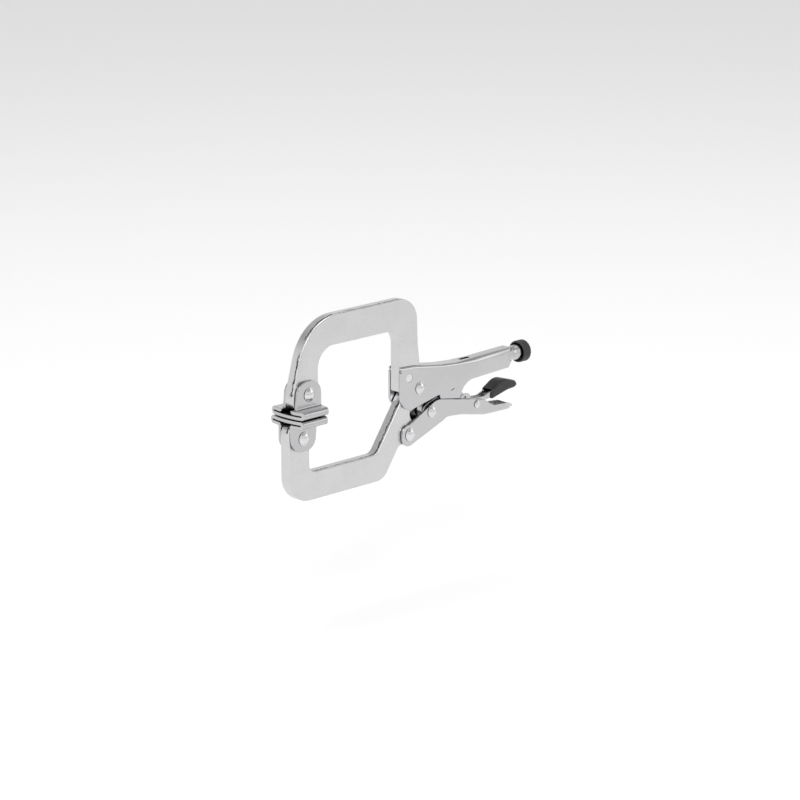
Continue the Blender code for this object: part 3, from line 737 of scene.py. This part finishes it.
def make_fixed_handle():
    side = rounded(
        [
            (-22.5, 40.0, 0.0),
            (61.0, 40.0, 0.0),
            (118.0, 11.4, 2.0),
            (118.0, 5.5, 2.0),
            (107.2, -1.7, 2.0),
            (51.2, -4.0, 17.0),
            (47.6, -17.7, 1.0),
            (24.4, -13.8, 0.8),
            (23.2, -10.0, 1.0),
            (-10.8, -17.0, 1.2),
            (-17.5, -14.5, 8.0),
            (-22.5, -8.0, 9.0),
        ]
    )
    channel = handle_bar()
    combine(channel, slab("side", side, 40.0), "INTERSECT")
    under_top = [(x, z - SHEET, 0.0) for x, z in HANDLE_TOP if x > 10.0]
    hollow = rounded(
        [(-40.0, 60.0, 0.0), (3.0, 60.0, 0.0), (3.0, 16.4, 0.0)]
        + under_top
        + [(105.6, 0.6, 1.0), (74.0, -0.6, 0.0), (74.0, -60.0, 0.0), (-40.0, -60.0, 0.0)]
    )
    combine(channel, slab("hollow", hollow, CHANNEL_INSIDE))
    half = CHANNEL_WIDTH / 2 + 1.0
    plan = rounded(
        [
            (-40, half, 0),
            (-40, -half, 0),
            (104, -half, 6),
            (114, -4.4, 2),
            (114, 4.4, 2),
            (104, half, 6),
        ]
    )
    combine(channel, slab("plan", plan, 80.0, "Z"), "INTERSECT")
    soften(channel, SHEET_EDGE, 2, ahead_of(HANDLE_EDGE_END_X))
    split_warped_faces(channel)
    combine(channel, turned("neck", neck_profile(), NECK_SIDES, "X", (0, 0, SCREW_Z)), "UNION")
    combine(channel, rod("bore", 115.0, SCREW_Z, SCREW_RADIUS + GAP, 30.0, "X"))
    seam = rounded([(70.0, -0.5, 0), (70.0, 0.5, 0), (125.0, 0.5, 0), (125.0, -0.5, 0)])
    combine(channel, slab("seam", seam, 6.0, "Z", -2.0))
    slot = rounded([(53.5, -2.0, 1.6), (53.5, 2.0, 1.6), (65.5, 2.0, 1.6), (65.5, -2.0, 1.6)])
    combine(channel, slab("slot", slot, 12.0, "Z", 14.0))
    nick = rounded([(35.4, -9.2, 0), (38.6, -8.8, 0), (41.8, -7.4, 0), (38.4, -7.9, 0)])
    combine(channel, slab("nick", nick, 4.0, middle=-7.0))
    drill(channel, JAW_PIVOT, HOLE_RADIUS)
    drill(channel, FIXED_ARM_RIVET, FIXED_ARM_HOLE_RADIUS)
    drill(channel, (-22.5, 17.4), SMALL_HOLE_RADIUS)
    present(channel, "fixed_handle", "handle", PRESSED)


def make_fixed_jaw_arm():
    clear = EYE_RADIUS + 0.5
    eye = arc(0.0, 0.0, clear, 78.0, 90.0 + math.degrees(SLANT))
    body = rounded(
        [
            (-22.5, -2.0, 1.5),
            (-22.5, 53.0, 12.0),
            (-113.2, 53.0, 17.0),
            (-113.2, 6.8, 7.0),
            (-141.2, 6.8, 7.0),
            (-141.2, 18.0, 20.0),
            (-124.2, 77.8, 42.0),
            (-1.4, 77.8, 20.0),
            (0.0, 38.0, 40.0),
            (2.4, 19.0, 0.0),
        ]
    )
    end = Vector((-clear * math.sin(SLANT), clear * math.cos(SLANT)))
    foot = end - 10.8 * Vector((math.cos(SLANT), math.sin(SLANT)))
    arm = slab("fixed_jaw_arm", body + eye + [foot], ARM_THICKNESS)

    def rim_past_eye(start, end):
        """The arc that goes round the moving jaw's eye stays sharp."""
        farther = max(math.hypot(start.x, start.z), math.hypot(end.x, end.z))
        return rim(start, end) and farther > clear + 0.6

    soften(arm, ARM_EDGE, 5, rim_past_eye)
    drill(arm, UPPER_PAD_PIVOT, HOLE_RADIUS)
    drill(arm, FIXED_ARM_RIVET, FIXED_ARM_HOLE_RADIUS)
    present(arm, "fixed_jaw_arm", "handle", FORGED)


# --- the moving jaw -----------------------------------------------------------------------------


def slant_point(offset, z):
    """The point at height z on the line that slants past the main pivot at a distance of offset."""
    x = -offset * math.sin(SLANT) + (z - offset * math.cos(SLANT)) / math.tan(SLANT)
    return x, z


def make_moving_jaw_arm():
    arm = slab(
        "moving_jaw_arm",
        rounded(
            [
                (-146.0, -5.4, 7.0),
                (-123.4, -5.4, 7.0),
                (-123.4, -48.2, 7.0),
                (*slant_point(EYE_RADIUS, -48.2), 8.0),
                (*slant_point(EYE_RADIUS, EYE_RADIUS), EYE_RADIUS - 0.1),
                (EYE_RADIUS, EYE_RADIUS, EYE_RADIUS - 0.1),
                (EYE_RADIUS, -EYE_RADIUS, EYE_RADIUS - 0.1),
                (-9.2, -EYE_RADIUS, 4.0),
                (-9.2, -23.5, 6.0),
                (-2.6, -31.0, 5.0),
                (-2.6, -46.4, 8.6),
                (*slant_point(-SLANT_BACK, -45.6), 5.0),
                (*slant_point(-SLANT_BACK, -71.2), 15.0),
                (-146.0, -71.2, 23.0),
            ]
        ),
        ARM_THICKNESS,
    )
    soften(arm, ARM_EDGE, 5, rim)
    for place in (JAW_PIVOT, LEVER_PIVOT, LOWER_PAD_PIVOT):
        drill(arm, place, HOLE_RADIUS)
    mouth = rounded([(3.2, -8.4, 0.6), (4.2, -5.0, 0.6), (20.0, 0.6, 0), (20.0, -4.0, 0)])
    combine(arm, slab("mouth", mouth, 3.0))
    present(arm, "moving_jaw_arm", "moving_jaw", FORGED)


# --- swivel pads --------------------------------------------------------------------------------


def make_pad(node, body, pivot, up):
    """A pad folded from thick sheet, its ears above its face for up = 1 and below for up = -1."""
    x, z = pivot
    face = z - up * PAD_PIVOT_HEIGHT
    middle = x - up * PAD_PIVOT_OFFSET
    ear_in = CHANNEL_INSIDE / 2
    ear_out = ear_in + PAD_SHEET

    def level(height):
        return face + up * height

    half = [
        (PAD_HALF_WIDTH, level(0.0), PAD_FOLD / 2 - 0.05),
        (PAD_HALF_WIDTH, level(PAD_FOLD), PAD_FOLD / 2 - 0.05),
        (ear_out, level(PAD_FOLD), 1.2),
        (ear_out, level(PAD_EAR_TOP + 2), 0.0),
        (ear_in, level(PAD_EAR_TOP + 2), 0.0),
        (ear_in, level(PAD_FOLD - PAD_SHEET), 2.4),
        (PAD_HALF_WIDTH - PAD_SHEET, level(PAD_FOLD - PAD_SHEET), 0.45),
        (PAD_HALF_WIDTH - PAD_SHEET, level(PAD_SHEET), 0.45),
    ]
    section = half + [(-y, height, radius) for y, height, radius in reversed(half)]
    length = 2 * (PAD_HALF_LENGTH + PAD_BULGE) + 4
    pad = slab(node, rounded(section), length, "X", middle)
    end_radius = (PAD_HALF_WIDTH**2 + PAD_BULGE**2) / (2 * PAD_BULGE)
    swing = math.degrees(math.asin(PAD_HALF_WIDTH / end_radius)) + 1.5
    reach = PAD_HALF_LENGTH + PAD_BULGE - end_radius
    plan = arc(middle + reach, 0.0, end_radius, -swing, swing)
    plan += arc(middle - reach, 0.0, end_radius, 180 - swing, 180 + swing)
    combine(pad, slab("plan", plan, 200.0, "Z"), "INTERSECT")
    wide = PAD_HALF_LENGTH + PAD_BULGE + 3
    base = level(PAD_FOLD + 0.1)
    side = rounded(
        [
            (middle - wide, base, 0.0),
            (middle - wide, level(-1.0), 0.0),
            (middle + wide, level(-1.0), 0.0),
            (middle + wide, base, 0.0),
            (x + PAD_EAR_ROOT, base, 0.0),
            (x + PAD_EAR_HALF_LENGTH, level(PAD_EAR_TOP), 10.6),
            (x - PAD_EAR_HALF_LENGTH, level(PAD_EAR_TOP), 10.6),
            (x - PAD_EAR_ROOT, base, 0.0),
        ]
    )
    combine(pad, slab("side", side, 80.0), "INTERSECT")
    drill(pad, pivot, HOLE_RADIUS)
    present(pad, node, body, PADS, 0.4)


# --- lever, link and release lever --------------------------------------------------------------


def lever_bottom(start, end):
    """An edge along the lever's lower rim, between its open front and its tail."""
    for place in (start, end):
        above_rim = min(-30.0, -29.0 - 0.12 * max(0.0, place.x - 60.0))
        if not -2.0 < place.x < 112.0 or place.z >= above_rim:
            return False
    return rim(start, end)


def make_hand_lever():
    side = rounded(
        [
            (-20.6, -47.3, 7.4),
            (-20.6, -30.0, 7.4),
            (-12.0, -29.4, 4.0),
            (20.5, -13.4, 16.0),
            (77.5, -24.4, 9.0),
            (88.3, -31.5, 9.0),
            (108.0, -32.9, 8.0),
            (117.8, -37.2, 0.7),
            (117.8, -38.6, 0.6),
            (111.0, -38.5, 0.0),
            (78.0, -38.0, 40.0),
            (50.0, -32.4, 40.0),
            (33.0, -31.0, 20.0),
            (-11.5, -47.3, 7.0),
        ]
    )
    lever = slab("hand_lever", side, CHANNEL_WIDTH)
    half = CHANNEL_WIDTH / 2
    plan = [
        (-40, half + 1, 0),
        (-40, -half - 1, 0),
        (92, -half - 1, 0),
        (105, -half + 0.3, 14),
        (117.6, -2.2, 2.1),
        (117.6, 2.2, 2.1),
        (105, half - 0.3, 14),
        (92, half + 1, 0),
    ]
    soften(lever, LEVER_EDGE, 6, lever_bottom)
    combine(lever, slab("plan", rounded(plan), 200.0, "Z"), "INTERSECT")
    hollow_side = rounded(
        [
            (-60.0, 20.0, 0.0),
            (-60.0, -80.0, 0.0),
            (6.0, -80.0, 0.0),
            (6.0, -41.0 + SHEET, 2.0),
            (32.0, -31.0 + SHEET, 20.0),
            (50.0, -32.4 + SHEET, 30.0),
            (78.0, -38.0 + SHEET, 30.0),
            (117.0, -39.0 + SHEET, 0.0),
            (130.0, 20.0, 0.0),
        ]
    )
    inside = CHANNEL_INSIDE / 2
    hollow_plan = rounded(
        [
            (-70, inside, 0),
            (-70, -inside, 0),
            (82, -inside, 8),
            (91, -6.6, 6),
            (104, -6.4, 10),
            (115.8, -1.6, 1.3),
            (115.8, 1.6, 1.3),
            (104, 6.4, 10),
            (91, 6.6, 6),
            (82, inside, 8),
        ]
    )
    hollow = slab("hollow", hollow_side, 20.0)
    combine(hollow, slab("hollow_plan", hollow_plan, 300.0, "Z"), "INTERSECT")
    combine(lever, hollow)
    for place in (LEVER_PIVOT, LINK_PIVOT):
        drill(lever, place, HOLE_RADIUS)
    drill(lever, RELEASE_PIVOT, RELEASE_HOLE_RADIUS)
    soften(lever, SHEET_EDGE, 2, ahead_of(LEVER_EDGE_END_X))
    present(lever, "hand_lever", "lever", PRESSED)


def make_toggle_link():
    outline = bent_bar((*LINK_PIVOT, 7.0), (38.0, -12.6, 4.6), (*LINK_TAIL, 4.2))
    link = slab("toggle_link", outline, LINK_THICKNESS)
    drill(link, LINK_PIVOT, HOLE_RADIUS)
    present(link, "toggle_link", "link", FORGED, 0.5)


def make_release_lever():
    lever = slab(
        "release_lever",
        rounded(
            [
                (44.8, -21.6, 1.4),
                (50.6, -21.6, 0.8),
                (50.8, -15.9, 5.0),
                (61.6, -15.9, 5.0),
                (63.9, -21.8, 1.5),
                (79.0, -22.8, 10.0),
                (92.0, -18.4, 8.0),
                (114.0, -18.0, 1.1),
                (114.0, -20.4, 1.1),
                (96.0, -20.6, 6.0),
                (88.0, -25.2, 5.0),
                (77.6, -26.4, 3.0),
                (73.4, -31.4, 4.2),
                (63.4, -31.4, 4.2),
                (58.0, -25.6, 5.0),
                (44.8, -25.6, 1.8),
            ]
        ),
        RELEASE_WIDTH,
    )
    gutter = rounded(
        [
            (52.0, 0.0, 0.0),
            (52.0, -22.4, 1.0),
            (66.0, -23.1, 4.0),
            (76.0, -24.3, 6.0),
            (86.0, -23.3, 6.0),
            (92.6, -20.0, 0.8),
            (92.6, 0.0, 0.0),
        ]
    )
    combine(lever, slab("gutter", gutter, RELEASE_WIDTH - 2 * RELEASE_SHEET))
    drill(lever, RELEASE_PIVOT, RELEASE_HOLE_RADIUS)
    drill(lever, (56.2, -19.6), SMALL_HOLE_RADIUS)
    present(lever, "release_lever", "release", PRESSED, 0.5)


def make_release_grip():
    grip = slab(
        "release_grip",
        rounded(
            [
                (88.0, -18.4, 3.0),
                (101.5, -10.8, 14.0),
                (119.0, -16.2, 3.0),
                (120.7, -21.0, 2.1),
                (107.6, -21.9, 12.0),
                (97.0, -24.4, 12.0),
                (86.2, -27.0, 2.4),
            ]
        ),
        GRIP_WIDTH,
    )
    plan = rounded(
        [
            (70.0, 8.0, 0),
            (70.0, -8.0, 0),
            (111.0, -8.0, 0),
            (120.9, -4.6, 5.0),
            (120.9, 4.6, 5.0),
            (111.0, 8.0, 0),
        ]
    )
    combine(grip, slab("plan", plan, 90.0, "Z"), "INTERSECT")
    soften(grip, GRIP_EDGE, 6)
    pocket = rounded(
        [
            (80.0, -20.3, 0.0),
            (90.9, -17.75, 8.0),
            (114.4, -17.55, 1.2),
            (114.4, -20.85, 1.2),
            (96.3, -21.05, 6.0),
            (88.3, -25.65, 5.0),
            (80.0, -26.9, 0.0),
        ]
    )
    combine(grip, slab("pocket", pocket, RELEASE_WIDTH + 2 * GAP))
    present(grip, "release_grip", "release", BLACK)


# --- rivets, screw, knob and spring -------------------------------------------------------------

RIVET_LIP = 0.25
DOME_STEPS = 14


def rivet(node, body, place, head_radius, dome, half_grip, shank=3.2):
    """A rivet with a domed head on each side, and a small rolled lip round each head.

    half_grip is half the width of what the rivet holds together.
    """
    ball = (head_radius**2 + dome**2) / (2 * dome)
    tilt = math.asin(head_radius / ball)
    middle = half_grip + dome - ball
    angles = [tilt * k / DOME_STEPS for k in range(DOME_STEPS)]
    rise = [(ball * math.sin(a), middle + ball * math.cos(a)) for a in angles]
    rise += [
        (head_radius - 0.05, half_grip + RIVET_LIP),
        (head_radius, half_grip + RIVET_LIP * 0.6),
        (head_radius - 0.1, half_grip),
        (shank, half_grip),
    ]
    profile = rise + [(radius, -height) for radius, height in reversed(rise)]
    made = turned(node, profile, TURNED_SIDES, "Y", (place[0], 0, place[1]))
    present(made, node, body, RIVETS)


def make_rivets():
    cheek = CHANNEL_WIDTH / 2 + GAP
    ear = CHANNEL_INSIDE / 2 + PAD_SHEET + GAP
    rivet("jaw_pivot_rivet", "handle", JAW_PIVOT, 5.3, 2.3, cheek)
    rivet("lever_pivot_rivet", "lever", LEVER_PIVOT, 5.5, 2.3, cheek)
    rivet("link_rivet", "lever", LINK_PIVOT, 5.2, 2.2, cheek)
    rivet("release_lever_rivet", "lever", RELEASE_PIVOT, 3.5, 1.5, cheek, shank=2.2)
    rivet("upper_pad_rivet", "handle", UPPER_PAD_PIVOT, 5.8, 2.4, ear)
    rivet("lower_pad_rivet", "moving_jaw", LOWER_PAD_PIVOT, 5.8, 2.4, ear)
    # The fixed arm's rivet is ground flush with the cheeks.
    half = CHANNEL_WIDTH / 2 + 0.05
    rise = [(0, half), (3.4, half), (3.65, half - 0.2)]
    profile = rise + [(radius, -height) for radius, height in reversed(rise)]
    place = (FIXED_ARM_RIVET[0], 0, FIXED_ARM_RIVET[1])
    flush = turned("flush", profile, TURNED_SIDES, "Y", place)
    present(flush, "fixed_arm_rivet", "handle", RIVETS)


def make_screw():
    """A rod with a rolled right-hand thread: each ring of points follows the groove round.

    The tip is a quarter thinner, and swells to full size over its first 1.5 mm.
    """
    length = SCREW_END_X - SCREW_TIP_X
    steps = int(length / SCREW_PITCH * RINGS_PER_PITCH)
    run = [SCREW_TIP_X + length * k / steps for k in range(steps + 1)]

    def thread(radius, height, angle):
        from_tip = min(1.0, (height - SCREW_TIP_X) / 1.5)
        phase = height / SCREW_PITCH - angle / (2 * math.pi)
        groove = 0.5 + 0.5 * math.cos(2 * math.pi * phase)
        return (radius - THREAD_DEPTH * groove) * (0.75 + 0.25 * from_tip)

    profile = [(0, SCREW_TIP_X)] + [(SCREW_RADIUS, x) for x in run] + [(0, SCREW_END_X)]
    screw = turned("adjusting_screw", profile, THREAD_SIDES, "X", (0, 0, SCREW_Z), thread)
    present(screw, "adjusting_screw", "screw", SPRING)


def make_knob():
    """A moulded cup with shallow grips round its rim and a dished end. The neck runs into it."""
    back = KNOB_FRONT_X + KNOB_LENGTH
    hollow = KNOB_FRONT_X + KNOB_HOLLOW_DEPTH

    def grips(radius, height, angle):
        if radius < KNOB_RADIUS - 0.9:
            return radius
        return radius - 0.28 * (0.5 - 0.5 * math.cos(KNOB_GRIPS * angle)) ** 2

    profile = [
        (0.0, back - 0.1),
        (4.5, back - 0.1),
        (5.4, back + 0.3),
        (6.0, back + 0.75),
        (6.8, back + 0.8),
        (8.2, back + 0.35),
        (9.0, back - 0.3),
        (9.4, back - 0.9),
        (KNOB_RADIUS, back - 1.6),
        (KNOB_RADIUS, KNOB_FRONT_X + 1.2),
        (9.3, KNOB_FRONT_X + 0.5),
        (8.9, KNOB_FRONT_X + 0.1),
        (8.5, KNOB_FRONT_X),
        (8.1, KNOB_FRONT_X + 0.1),
        (KNOB_HOLLOW_RADIUS, KNOB_FRONT_X + 0.6),
        (KNOB_HOLLOW_RADIUS, hollow),
        (SCREW_RADIUS + GAP, hollow),
        (SCREW_RADIUS + GAP, SCREW_END_X + GAP),
        (0.0, SCREW_END_X + GAP),
    ]
    sides = KNOB_GRIPS * POINTS_PER_GRIP
    knob = turned("adjusting_knob", profile, sides, "X", (0, 0, SCREW_Z), grips)
    present(knob, "adjusting_knob", "knob", BLACK)


def make_tension_spring():
    """Round wire wound into a close coil, with a straight end on each side."""
    way = SPRING_REAR - SPRING_FRONT
    length = way.length
    way.normalize()
    along = Vector((way.x, 0.0, way.y))
    across = Vector((-way.y, 0.0, way.x))
    sideways = Vector((0.0, 1.0, 0.0))
    start = Vector((SPRING_FRONT.x, 0.0, SPRING_FRONT.y))
    first, last = SPRING_COIL

    def outwards(angle):
        return across * math.cos(angle) + sideways * math.sin(angle)

    # The wire's middle as (distance along, distance from the axis, angle round it).
    turns = int((last - first) / (2 * SPRING_WIRE_RADIUS + SPRING_TURN_GAP))
    samples = turns * SPRING_TURN_STEPS
    path = [((first - 1.2) * k / 6, 0.0, 0.0) for k in range(7)]
    for k in range(samples + 1):
        angle = 2 * math.pi * k / SPRING_TURN_STEPS
        ease = min(1.0, k / 10, (samples - k) / 10)
        reach = ease * (SPRING_RADIUS - SPRING_WIRE_RADIUS)
        path.append((first + (last - first) * k / samples, reach, angle))
    path += [(last + 1.2, 0.0, 0.0), ((last + length) / 2, 0.0, 0.0), (length, 0.0, 0.0)]
    centres = [start + along * d + outwards(angle) * reach for d, reach, angle in path]

    work = bmesh.new()
    rings = []
    sides = [2 * math.pi * k / SPRING_WIRE_SIDES for k in range(SPRING_WIRE_SIDES)]
    for i, centre in enumerate(centres):
        heading = (centres[min(i + 1, len(centres) - 1)] - centres[max(i - 1, 0)]).normalized()
        out = outwards(path[i][2])
        out = (out - heading * out.dot(heading)).normalized()
        side = heading.cross(out)
        spokes = [out * math.cos(t) + side * math.sin(t) for t in sides]
        rings.append([work.verts.new(centre + SPRING_WIRE_RADIUS * spoke) for spoke in spokes])
    for one, two in zip(rings, rings[1:]):
        for k in range(SPRING_WIRE_SIDES):
            work.faces.new((one[k - 1], one[k], two[k], two[k - 1]))
    work.faces.new(rings[0])
    work.faces.new(rings[-1])
    spring = mesh_object("tension_spring", work)
    bend = (SPRING_FRONT, SPRING_FRONT + way * first)
    present(spring, "tension_spring", "handle", SPRING, bend=bend)


make_fixed_handle()
make_fixed_jaw_arm()
make_moving_jaw_arm()
make_pad("upper_swivel_pad", "upper_pad", UPPER_PAD_PIVOT, 1)
make_pad("lower_swivel_pad", "lower_pad", LOWER_PAD_PIVOT, -1)
make_hand_lever()
make_toggle_link()
make_release_lever()
make_release_grip()
make_rivets()
make_screw()
make_knob()
make_tension_spring()
